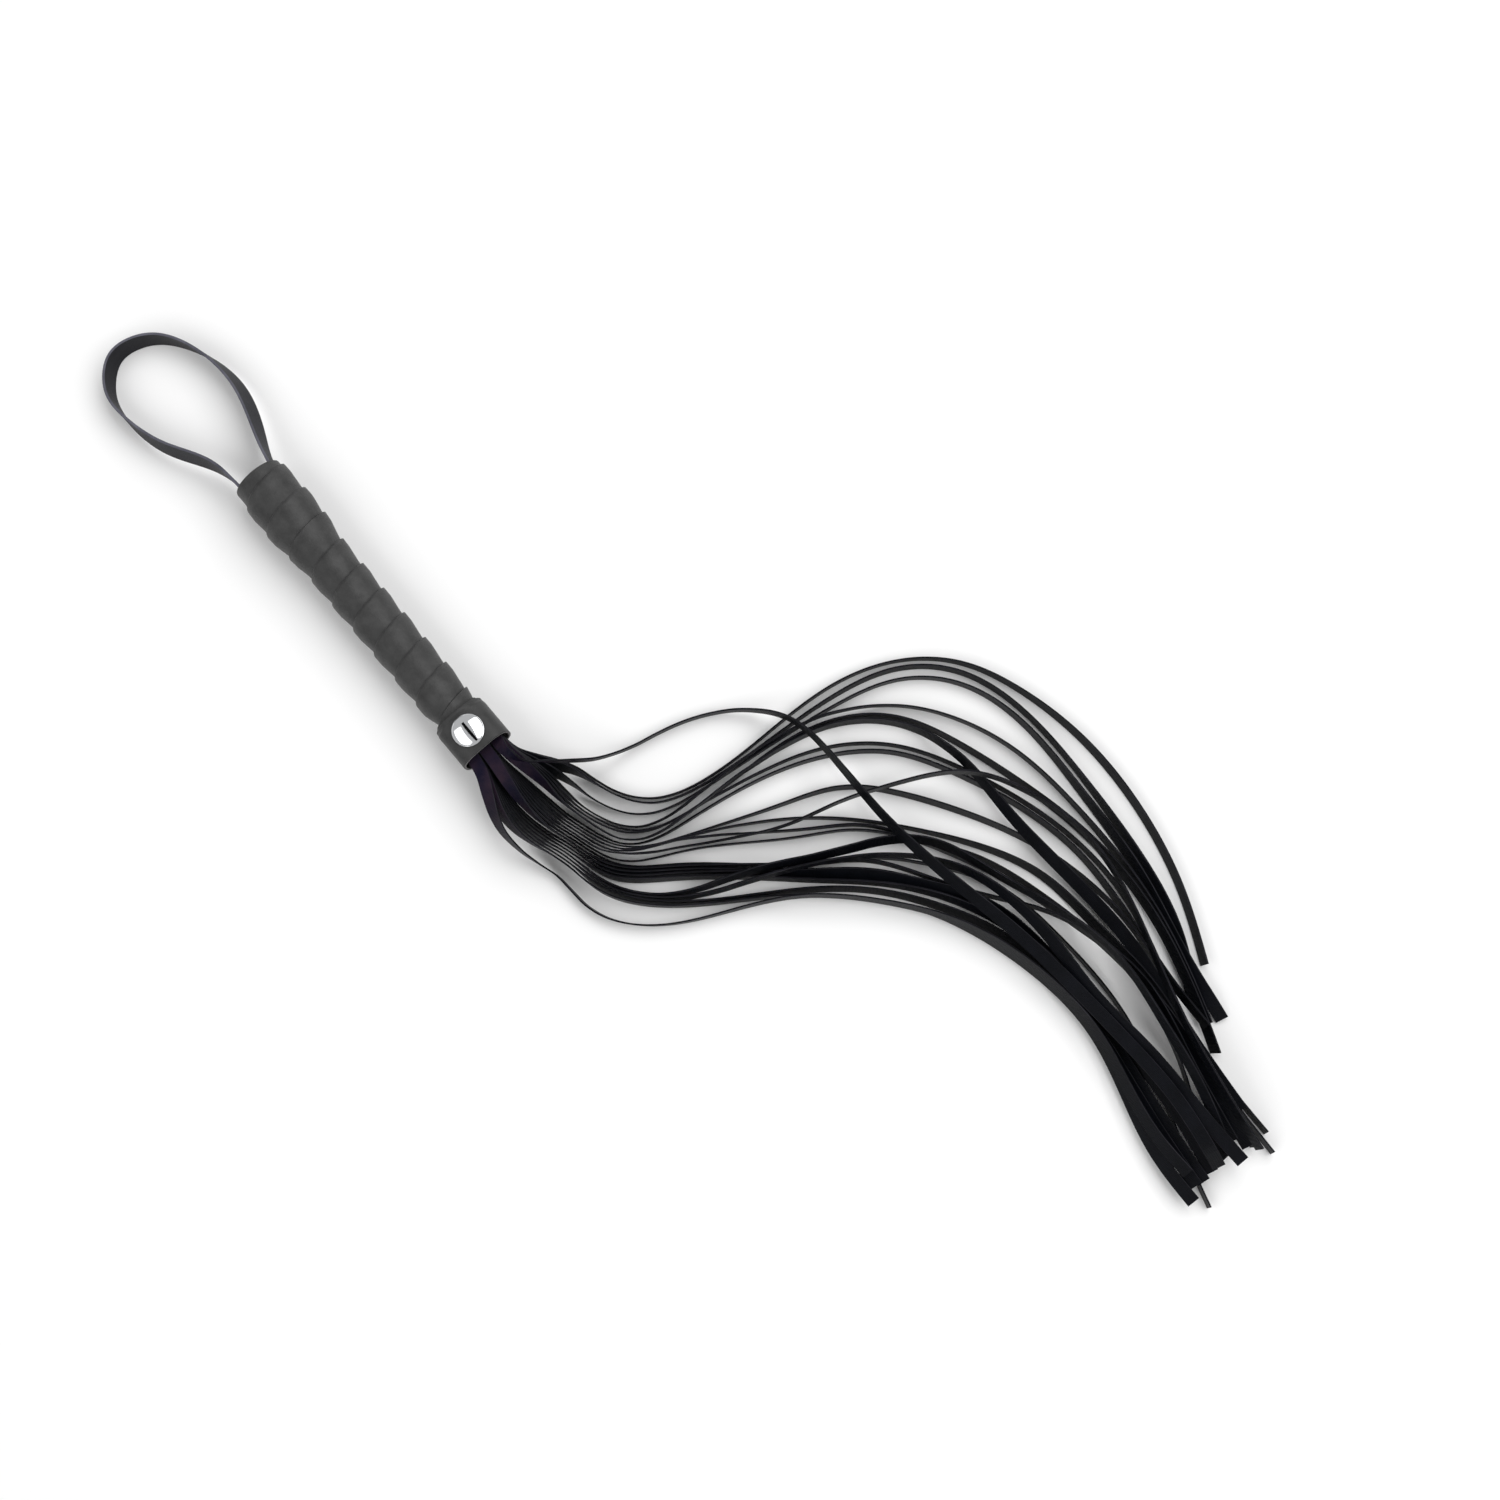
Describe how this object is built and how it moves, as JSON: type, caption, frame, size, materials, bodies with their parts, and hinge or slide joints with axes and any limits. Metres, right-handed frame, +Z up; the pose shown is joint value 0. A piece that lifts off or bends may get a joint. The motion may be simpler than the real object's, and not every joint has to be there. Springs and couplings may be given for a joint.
{
  "type": "multi-tail riding crop",
  "caption": "Short whip with a rigid spirally wrapped handle, a wrist loop at its butt and a riveted cuff that holds a bundle of long flat leather falls.",
  "frame": {"origin": "on the surface it lies on, below the middle of the handle and its wrist loop together", "axes": "+X along the handle from the wrist loop towards the falls, +Z up from the surface it lies on, and the falls bend towards +Y"},
  "size_m": [0.6849, 0.2614, 0.0346],
  "materials": {
    "wrap_leather": "matt, finely grained",
    "cuff_leather": "matt",
    "fall_leather": "smooth satin",
    "strap_leather": "smooth satin",
    "rivet_chrome": "polished",
    "tack_steel": "plain",
    "core_wood": "bare turned wood"
  },
  "bodies": {
    "handle": {"handle_core": "core_wood", "butt_disc": "cuff_leather", "loop_tab_left": "strap_leather", "loop_tab_right": "strap_leather", "loop_tack_left": "tack_steel", "loop_tack_right": "tack_steel", "grip_wrap": "wrap_leather", "cuff": "cuff_leather", "cuff_liner": "cuff_leather", "rivet_cap": "rivet_chrome", "rivet_post": "tack_steel", "rivet_back": "rivet_chrome", "falls_band": "fall_leather"},
    "wrist_loop": {"wrist_loop": "strap_leather"},
    "falls": {"fall_01": "fall_leather", "fall_02": "fall_leather", "fall_03": "fall_leather", "fall_04": "fall_leather", "fall_05": "fall_leather", "fall_06": "fall_leather", "fall_07": "fall_leather", "fall_08": "fall_leather", "fall_09": "fall_leather", "fall_10": "fall_leather", "fall_11": "fall_leather", "fall_12": "fall_leather", "fall_13": "fall_leather", "fall_14": "fall_leather", "fall_15": "fall_leather", "fall_16": "fall_leather", "fall_17": "fall_leather", "fall_18": "fall_leather", "fall_19": "fall_leather", "fall_20": "fall_leather", "fall_21": "fall_leather", "fall_22": "fall_leather", "fall_23": "fall_leather", "fall_24": "fall_leather"}
  },
  "joints": [
    {"name": "loop_swing", "type": "hinge", "parent": "handle", "child": "wrist_loop", "pos_m": [-0.04016, 0.0047, 0.0155], "axis": [0, 1, 0], "range_deg": [-90, 90], "deforming": ["wrist_loop"]},
    {"name": "falls_swing", "type": "hinge", "parent": "handle", "child": "falls", "pos_m": [0.14434, 0.0047, 0.0155], "axis": [0, 1, 0], "range_deg": [-90, 90], "deforming": ["fall_01", "fall_02", "fall_03", "fall_04", "fall_05", "fall_06", "fall_07", "fall_08", "fall_09", "fall_10", "fall_11", "fall_12", "fall_13", "fall_14", "fall_15", "fall_16", "fall_17", "fall_18", "fall_19", "fall_20", "fall_21", "fall_22", "fall_23", "fall_24"]}
  ]
}
